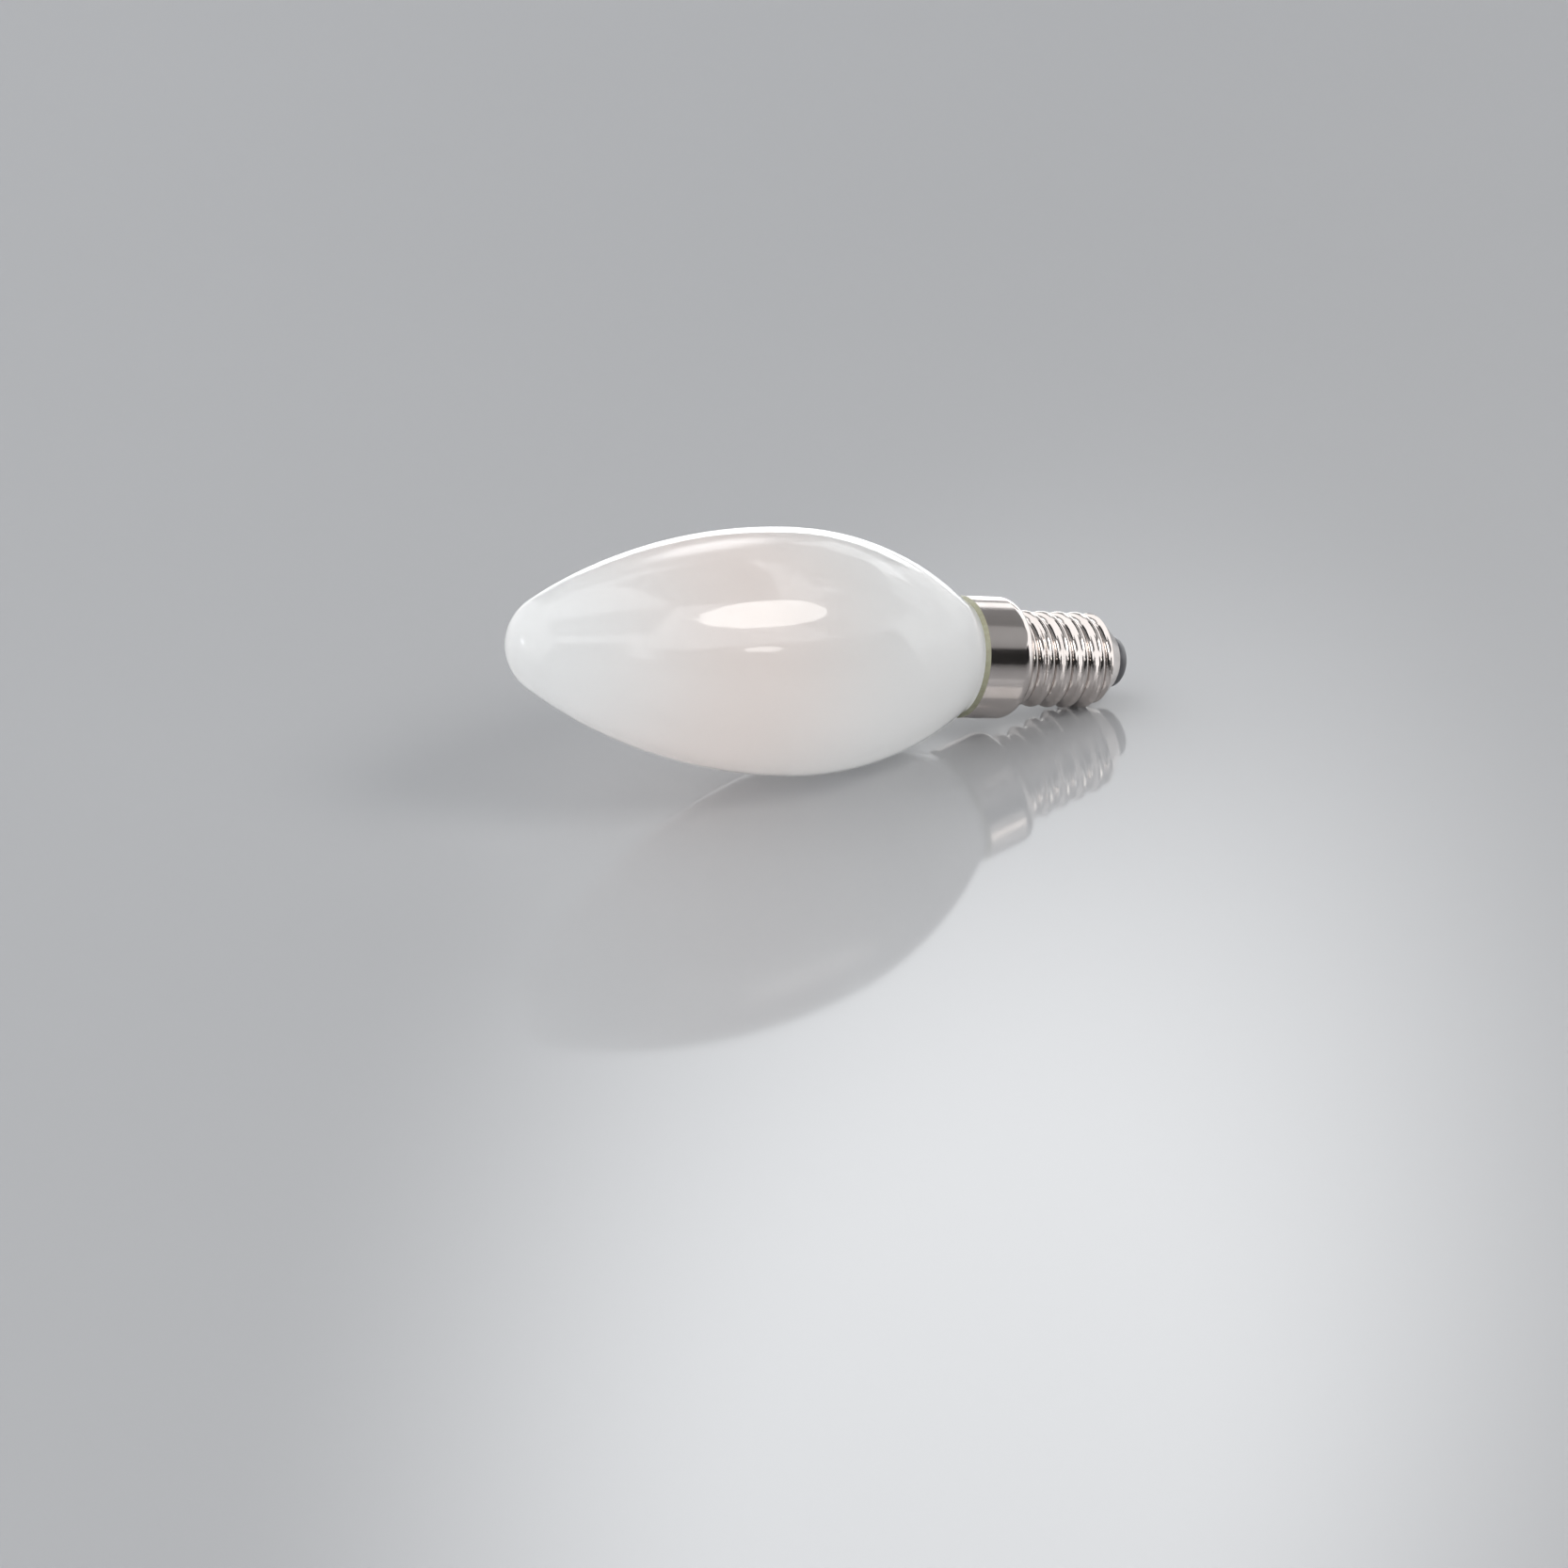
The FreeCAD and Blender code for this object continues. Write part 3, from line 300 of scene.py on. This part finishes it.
@dataclass(frozen=True)
class FrostedGlass:
    """White frosting under a smooth clear outer skin, warm round the middle.

    The frosting scatters most light forward, so the hollow glass evens out what falls on it.
    """

    axis: LampAxis
    name: str = "frosted_glass"
    warm_along: float = 0.030
    warm_half_length: float = 0.0245
    frost: Colour = (0.975, 0.98, 0.98)
    frost_patches: Colour = (0.98, 0.985, 0.985)
    patch_grain: float = 90.0
    warm: Colour = (0.97, 0.90, 0.87)
    passed: Colour = (0.993, 0.997, 0.997)
    passed_warm: Colour = (0.999, 0.972, 0.958)
    passed_share: float = 0.86
    roughness: float = 0.42
    roughness_spread: float = 0.10
    roughness_grain: float = 260.0
    etch_grain: float = 5200.0
    etch_strength: float = 0.04
    etch_depth: float = 0.00002
    coat: float = 1.0
    coat_roughness: float = 0.07
    coat_ior: float = 1.52
    rim: Colour = (0.56, 0.68, 0.73)
    rim_facing: tuple[float, float] = (0.82, 0.97)
    rim_share: float = 0.7
    rim_roughness: float = 0.12
    mirror_share: float = 0.04
    mirror_growth: float = 0.8
    mirror_power: float = 5.0

    def make(self) -> bpy.types.Material:
        """Build the material.

        Returns:
            The material.
        """
        material, sheet = new_material(self.name)
        where = sheet.place(self.axis.at(self.warm_along), self.axis.turn)
        along = sheet.node("ShaderNodeSeparateXYZ", None, {0: where}, out="Z")
        away = sheet.node("ShaderNodeMath", {"operation": "ABSOLUTE"}, {0: along})
        warmth = sheet.ease(away, (0.0, self.warm_half_length), (1.0, 0.0))
        body = sheet.layer(self.passed_share, self.frosting(sheet, where, warmth),
                           self.light_passed(sheet, warmth))
        sheet.finish(self.clear_skin(sheet, body))
        return material

    def frosting(self, sheet: NodeSheet, where: ShaderValue,
                 warmth: ShaderValue) -> ShaderValue:
        """Make the white frosting as light falls on it.

        Args:
            sheet: the material's sheet.
            where: the coordinates of its patterns.
            warmth: 1 in the middle of the warm patch and 0 outside it.

        Returns:
            The shader.
        """
        frost = sheet.blend(sheet.noise(where, self.patch_grain), self.frost, self.frost_patches)
        rough = spread_about(self.roughness, self.roughness_spread,
                             sheet.noise(where, self.roughness_grain))
        etching = sheet.bump(sheet.noise(where, self.etch_grain, detail=2.0),
                             self.etch_strength, self.etch_depth)
        return sheet.shader("ShaderNodeBsdfPrincipled", {
            "Base Color": sheet.blend(warmth, frost, self.warm), "Roughness": rough,
            "IOR": GLOSS_IOR, "Normal": etching, "Coat Weight": self.coat,
            "Coat Roughness": self.coat_roughness, "Coat IOR": self.coat_ior,
        })

    def light_passed(self, sheet: NodeSheet, warmth: ShaderValue) -> ShaderValue:
        """Make the light that the frosting lets through, warmer in the warm patch.

        Args:
            sheet: the material's sheet.
            warmth: 1 in the middle of the warm patch and 0 outside it.

        Returns:
            The shader.
        """
        cool = sheet.shader("ShaderNodeBsdfTranslucent", {"Color": rgba(self.passed)})
        warm = sheet.shader("ShaderNodeBsdfTranslucent", {"Color": rgba(self.passed_warm)})
        return sheet.layer(warmth, cool, warm)

    def clear_skin(self, sheet: NodeSheet, body: ShaderValue) -> ShaderValue:
        """Lay the clear glass outside the frosting over it.

        Seen edge on, the clear glass shows as a thin cool rim. Its smooth skin mirrors a little
        head-on and almost everything edge on.

        Args:
            sheet: the material's sheet.
            body: the frosted body under the skin.

        Returns:
            The shader.
        """
        rim = sheet.shader("ShaderNodeBsdfPrincipled", {
            "Base Color": rgba(self.rim), "Roughness": self.rim_roughness, "IOR": GLOSS_IOR,
            "Coat Weight": self.coat, "Coat Roughness": self.coat_roughness,
        })
        facing = sheet.node("ShaderNodeLayerWeight", None, {"Blend": 0.5}, out="Facing")
        edge = sheet.ease(facing, self.rim_facing, (0.0, self.rim_share))
        steep = sheet.node("ShaderNodeMath", {"operation": "POWER"},
                           {0: facing, 1: self.mirror_power})
        gloss = sheet.shader("ShaderNodeBsdfGlossy",
                             {"Color": rgba(WHITE), "Roughness": self.coat_roughness})
        return sheet.layer(steep * self.mirror_growth + self.mirror_share,
                           sheet.layer(edge, body, rim), gloss)


@dataclass(frozen=True)
class PlatedMetal:
    """Bright plating with clouds of duller metal and fine lines round the lamp."""

    name: str
    axis: LampAxis
    colour: Colour = (0.75, 0.70, 0.67)
    dull: Colour = (0.62, 0.56, 0.53)
    roughness: float = 0.13
    roughness_spread: float = 0.08
    pattern_along: float = 0.08
    cloud_grain: float = 260.0
    line_grain: float = 2400.0
    line_stretch: tuple[float, float, float] = (1.0, 1.0, 0.12)
    line_strength: float = 0.10
    line_depth: float = 0.00002

    def make(self) -> bpy.types.Material:
        """Build the material.

        Returns:
            The material.
        """
        material, sheet = new_material(self.name)
        centre = self.axis.at(self.pattern_along)
        cloud = sheet.noise(sheet.place(centre, self.axis.turn), self.cloud_grain, detail=4.0)
        lines = sheet.noise(sheet.place(centre, self.axis.turn, self.line_stretch),
                            self.line_grain)
        sheet.finish(sheet.shader("ShaderNodeBsdfPrincipled", {
            "Base Color": sheet.blend(cloud, self.colour, self.dull), "Metallic": 1.0,
            "Roughness": spread_about(self.roughness, self.roughness_spread, cloud),
            "Normal": sheet.bump(lines, self.line_strength, self.line_depth),
        }))
        return material


@dataclass(frozen=True)
class MattFinish:
    """Moulded, cast or coated stuff with a fine uneven surface."""

    name: str
    axis: LampAxis
    colour: Colour
    patches: Colour
    grain: float
    roughness: float
    coat: float = 0.0
    coat_roughness: float = 0.12
    roughness_spread: float = 0.15
    pattern_along: float = 0.09
    relief_fineness: float = 3.0
    relief_strength: float = 0.25
    relief_depth: float = 0.00005

    def make(self) -> bpy.types.Material:
        """Build the material.

        Returns:
            The material.
        """
        material, sheet = new_material(self.name)
        where = sheet.place(self.axis.at(self.pattern_along), self.axis.turn)
        cloud = sheet.noise(where, self.grain, detail=4.0)
        relief = sheet.noise(where, self.grain * self.relief_fineness)
        sheet.finish(sheet.shader("ShaderNodeBsdfPrincipled", {
            "Base Color": sheet.blend(cloud, self.colour, self.patches),
            "Roughness": spread_about(self.roughness, self.roughness_spread, cloud),
            "Normal": sheet.bump(relief, self.relief_strength, self.relief_depth),
            "Coat Weight": self.coat, "Coat Roughness": self.coat_roughness,
        }))
        return material


@dataclass
class CandleBulb:
    """The lamp itself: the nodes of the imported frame, each with its finish."""

    nodes: dict[str, bpy.types.Object]
    axis: LampAxis

    def finishes(self) -> list[tuple[Finish, tuple[str, ...]]]:
        """List each finish with the nodes that wear it.

        Returns:
            Pairs of a finish and the names of its nodes.
        """
        axis = self.axis
        return [
            (FrostedGlass(axis), ("glass_bulb",)),
            (MattFinish("basing_cement", axis, colour=(0.45, 0.45, 0.33),
                        patches=(0.27, 0.26, 0.17), grain=1500.0, roughness=0.55, coat=0.25),
             ("basing_cement",)),
            (PlatedMetal("nickel_plating", axis), ("cap_shell",)),
            (MattFinish("dark_insulator", axis, colour=(0.075, 0.075, 0.083),
                        patches=(0.10, 0.10, 0.11), grain=700.0, roughness=0.35, coat=0.25),
             ("end_insulator",)),
            (PlatedMetal("contact_plating", axis, colour=(0.68, 0.65, 0.61),
                         dull=(0.54, 0.51, 0.47), roughness=0.22),
             ("centre_contact",)),
            (MattFinish("sleeve_film", axis, colour=(0.72, 0.71, 0.66),
                        patches=(0.66, 0.65, 0.60), grain=600.0, roughness=0.45),
             ("insulating_sleeve",)),
            (MattFinish("board_mask", axis, colour=(0.74, 0.75, 0.71),
                        patches=(0.68, 0.69, 0.65), grain=800.0, roughness=0.4, coat=0.2),
             ("driver_board",)),
            (MattFinish("moulded_black", axis, colour=(0.03, 0.03, 0.032),
                        patches=(0.06, 0.06, 0.06), grain=900.0, roughness=0.5),
             ("bridge_rectifier", "driver_chip", "sense_resistor")),
            (MattFinish("can_film", axis, colour=(0.05, 0.05, 0.06),
                        patches=(0.08, 0.08, 0.09), grain=500.0, roughness=0.35, coat=0.3),
             ("smoothing_capacitor",)),
            (MattFinish("resistor_coat", axis, colour=(0.15, 0.32, 0.26),
                        patches=(0.11, 0.25, 0.20), grain=900.0, roughness=0.6),
             ("fusible_resistor",)),
            (PlatedMetal("tinned_wire", axis, colour=(0.72, 0.70, 0.67),
                         dull=(0.58, 0.56, 0.53), roughness=0.28),
             ("lead_in_wire_1", "lead_in_wire_2", "live_wire", "neutral_wire")),
        ]

    def dress(self) -> None:
        """Put each finish on its nodes."""
        for finish, names in self.finishes():
            material = finish.make()
            for name in names:
                slots = self.nodes[name].data.materials
                for slot in range(len(slots)):
                    slots[slot] = material
                log.info("finished %s", name)


class LightShape(Enum):
    """Outline of a studio light."""

    PANEL = "RECTANGLE"
    ROUND = "ELLIPSE"


@dataclass(frozen=True)
class StudioPiece:
    """Something that stands away from the lamp and faces it, at a bearing and a height."""

    name: str
    bearing: float
    height: float
    distance: float
    size: tuple[float, float]

    @property
    def turn(self) -> Matrix:
        """Turn that points its Z axis away from the lamp."""
        return direction_to(self.bearing, self.height).to_track_quat("Z", "Y").to_matrix()

    def centre(self, aim: Vector) -> Vector:
        """Find its middle, at its distance from the point that it faces."""
        return aim + direction_to(self.bearing, self.height) * self.distance

    def erect(self, shape: bmesh.types.BMesh, aim: Vector,
              thickness: float = 1.0) -> bpy.types.Object:
        """Bring a shape of unit size to its own size and place.

        Args:
            shape: the bmesh, which is used up.
            aim: the point that it faces.
            thickness: its size along its Z axis, left at 1 for a flat shape.

        Returns:
            The object, at the origin.
        """
        bmesh.ops.scale(shape, vec=Vector((*self.size, thickness)), verts=shape.verts)
        bmesh.ops.rotate(shape, matrix=self.turn, verts=shape.verts)
        bmesh.ops.translate(shape, vec=self.centre(aim), verts=shape.verts)
        return add_piece(self.name, shape)


@dataclass(frozen=True)
class StudioLight(StudioPiece):
    """One soft light.

    Its glow is the brightness of its face, with 1 for a white sheet in full light.
    """

    glow: float
    colour: Colour
    shape: LightShape = LightShape.PANEL

    def place(self, aim: Vector) -> None:
        """Put the light up, out of the camera's sight.

        Args:
            aim: the point that it faces.
        """
        lamp = bpy.data.lights.new(self.name, "AREA")
        lamp.shape = self.shape.value
        lamp.size, lamp.size_y = self.size
        area = self.size[0] * self.size[1]
        if self.shape is LightShape.ROUND:
            area *= math.pi / 4
        lamp.energy = self.glow * math.pi * area
        lamp.color = self.colour
        holder = bpy.data.objects.new(self.name, lamp)
        holder.visible_camera = False
        holder.matrix_world = Matrix.Translation(self.centre(aim)) @ self.turn.to_4x4()
        bpy.context.scene.collection.objects.link(holder)


@dataclass(frozen=True)
class ShadeCard(StudioPiece):
    """One black or grey card that the metal mirrors."""

    tone: float = 0.01
    thickness: float = 0.004
    roughness: float = 0.9

    def place(self, aim: Vector) -> None:
        """Put the card up.

        Args:
            aim: the point that it faces.
        """
        shape = bmesh.new()
        bmesh.ops.create_cube(shape, size=1.0)
        card = self.erect(shape, aim, self.thickness)
        material, sheet = new_material(f"{self.name}_paper")
        sheet.finish(sheet.shader("ShaderNodeBsdfPrincipled", {
            "Base Color": rgba((self.tone, self.tone, self.tone)), "Roughness": self.roughness,
        }))
        card.data.materials.append(material)


@dataclass(frozen=True)
class GlowingScreen(StudioPiece):
    """A large dim screen behind the lamp with one bright oval on it.

    The floor mirrors the screen, so the oval makes the light pool in front of the lamp.
    """

    dim: float = 0.40
    bright: float = 3.5
    colour: Colour = COOL_LIGHT
    oval: tuple[float, float] = (0.225, 0.34)
    oval_tilt: float = -15.0
    solid_share: float = 0.25

    def place(self, aim: Vector) -> None:
        """Put the screen up.

        Args:
            aim: the point that it faces.
        """
        shape = bmesh.new()
        bmesh.ops.create_grid(shape, x_segments=1, y_segments=1, size=0.5)
        screen = self.erect(shape, aim)
        screen.data.materials.append(self.glow(self.centre(aim)))

    def glow(self, centre: Vector) -> bpy.types.Material:
        """Build the screen's light, bright in the oval and dim outside it.

        Args:
            centre: the middle of the oval.

        Returns:
            The material.
        """
        material, sheet = new_material("screen_glow")
        tilted = self.turn @ Matrix.Rotation(math.radians(self.oval_tilt), 3, "Z")
        where = sheet.place(centre, tilted.to_euler(), (*self.oval, 1.0))
        reach = sheet.node("ShaderNodeVectorMath", {"operation": "LENGTH"}, {0: where},
                           out="Value")
        share = sheet.ease(reach, (self.solid_share, 1.0), (1.0, 0.0))
        around, oval = (sheet.shader("ShaderNodeEmission",
                                     {"Color": rgba(self.colour), "Strength": strength})
                        for strength in (self.dim, self.bright))
        sheet.finish(sheet.layer(share, around, oval))
        return material


@dataclass(frozen=True)
class CameraPlace:
    """Where the photograph was taken from, found from the lamp's outline and its thread.

    The point that it aims at falls on the aim pixel, counted from the picture's upper left.
    """

    bearing: float = -27.878980
    height: float = 23.404180
    roll: float = -0.796411
    distance: float = 1.1
    aim: tuple[float, float, float] = (-0.005183, 0.0, 0.0175)
    aim_pixel: tuple[float, float] = (838.4, 696.706)
    focal_pixels: float = 8359.63
    sensor: float = 36.0
    nearest: float = 0.05
    farthest: float = 20.0

    def matrix(self) -> Matrix:
        """Find the camera's place and turn.

        Returns:
            The matrix of the camera in the scene.
        """
        out = direction_to(self.bearing, self.height)
        right = Vector((0.0, 0.0, 1.0)).cross(out).normalized()
        upright = Matrix((right, out.cross(right), out)).transposed()
        middle = IMAGE_SIZE / 2 - 0.5
        sight = Vector(((self.aim_pixel[0] - middle) / self.focal_pixels,
                        (middle - self.aim_pixel[1]) / self.focal_pixels, -1.0)).normalized()
        swing = sight.rotation_difference(Vector((0.0, 0.0, -1.0))).to_matrix()
        turn = upright @ Matrix.Rotation(math.radians(self.roll), 3, "Z") @ swing
        return Matrix.Translation(Vector(self.aim) + out * self.distance) @ turn.to_4x4()

    def place(self) -> None:
        """Stand the camera there and look through it."""
        camera = bpy.data.cameras.new("camera")
        camera.sensor_fit = "HORIZONTAL"
        camera.sensor_width = self.sensor
        camera.lens = self.focal_pixels * self.sensor / IMAGE_SIZE
        camera.clip_start = self.nearest
        camera.clip_end = self.farthest
        holder = bpy.data.objects.new("camera", camera)
        holder.matrix_world = self.matrix()
        bpy.context.scene.collection.objects.link(holder)
        bpy.context.scene.camera = holder


@dataclass
class Studio:
    """Pale glossy floor, dark cards, soft lights and the camera."""

    aim: Vector = field(default_factory=lambda: Vector((-0.005, 0.0, 0.0175)))
    floor_size: float = 6.0
    floor_colour: Colour = (0.385, 0.39, 0.402)
    floor_patch_lift: float = 1.03
    floor_grain: float = 9.0
    floor_roughness: float = 0.075
    floor_roughness_spread: float = 0.03
    room_colour: Colour = (0.98, 0.99, 1.0)
    room_glow: float = 1.5
    lights: tuple[StudioLight, ...] = (
        StudioLight("main_softbox", bearing=31.0, height=46.0, distance=0.50, size=(0.28, 0.20),
                    glow=5.2, colour=WARM_LIGHT, shape=LightShape.ROUND),
        StudioLight("small_front_light", bearing=14.0, height=17.0, distance=0.56,
                    size=(0.087, 0.044), glow=4.8, colour=(1.0, 0.98, 0.95),
                    shape=LightShape.ROUND),
        StudioLight("rim_light", bearing=124.0, height=25.0, distance=1.1, size=(0.50, 0.22),
                    glow=1.2, colour=COOL_LIGHT),
        StudioLight("horizon_strip", bearing=147.0, height=6.0, distance=2.0, size=(1.15, 0.28),
                    glow=2.4, colour=COOL_LIGHT),
        StudioLight("tip_light", bearing=-112.0, height=10.0, distance=1.0, size=(0.22, 0.12),
                    glow=4.0, colour=(0.95, 0.98, 1.0)),
    )
    cards: tuple[ShadeCard, ...] = (
        ShadeCard("front_card", bearing=26.0, height=9.0, distance=0.62, size=(0.90, 0.28)),
        ShadeCard("camera_side_card", bearing=-28.0, height=18.0, distance=1.30,
                  size=(0.54, 0.46), tone=0.05),
        ShadeCard("low_front_card", bearing=-32.0, height=1.0, distance=0.90,
                  size=(0.90, 0.22), tone=0.30),
        ShadeCard("upper_front_card", bearing=-30.0, height=56.0, distance=0.85,
                  size=(0.56, 0.50), tone=0.35),
        ShadeCard("overhead_card", bearing=90.0, height=72.0, distance=0.60, size=(0.56, 0.26)),
        ShadeCard("grey_side_card", bearing=102.0, height=41.0, distance=0.72,
                  size=(0.42, 0.32), tone=0.38),
        ShadeCard("pale_side_card", bearing=62.0, height=34.0, distance=0.76,
                  size=(0.66, 0.34), tone=0.62),
    )
    screen: GlowingScreen = GlowingScreen("back_screen", bearing=149.5, height=33.0,
                                          distance=1.3, size=(1.2, 1.1))
    camera: CameraPlace = CameraPlace()

    def build(self) -> None:
        """Make the floor, the cards, the screen, the lights, the world and the camera."""
        self.lay_floor()
        for piece in (*self.cards, self.screen, *self.lights):
            piece.place(self.aim)
            log.info("placed %s", piece.name)
        self.fill_world()
        self.camera.place()
        bpy.context.scene.view_settings.view_transform = "Standard"

    def lay_floor(self) -> None:
        """Lay the pale floor and its finish."""
        shape = bmesh.new()
        bmesh.ops.create_grid(shape, x_segments=1, y_segments=1, size=self.floor_size / 2)
        floor = add_piece("floor", shape)
        material, sheet = new_material("floor_finish")
        cloud = sheet.noise(sheet.node("ShaderNodeTexCoord", out="Object"), self.floor_grain)
        lifted = tuple(channel * self.floor_patch_lift for channel in self.floor_colour)
        sheet.finish(sheet.shader("ShaderNodeBsdfPrincipled", {
            "Base Color": sheet.blend(cloud, self.floor_colour, lifted), "IOR": GLOSS_IOR,
            "Roughness": spread_about(self.floor_roughness, self.floor_roughness_spread, cloud),
        }))
        floor.data.materials.append(material)
        log.info("placed floor")

    def fill_world(self) -> None:
        """Light the room evenly and softly from all round."""
        world = bpy.data.worlds.new("studio")
        world.use_nodes = True
        sheet = NodeSheet(world.node_tree)
        glow = sheet.shader("ShaderNodeBackground", {
            "Color": rgba(self.room_colour), "Strength": self.room_glow,
        })
        sheet.finish(glow, "ShaderNodeOutputWorld")
        bpy.context.scene.world = world


def main() -> None:
    """Dress the lamp, then build the studio round it."""
    logging.basicConfig(level=logging.INFO)
    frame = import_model()
    CandleBulb(frame["nodes"], LampAxis.from_frame(frame["record"])).dress()
    Studio().build()


if __name__ == "__main__":
    main()
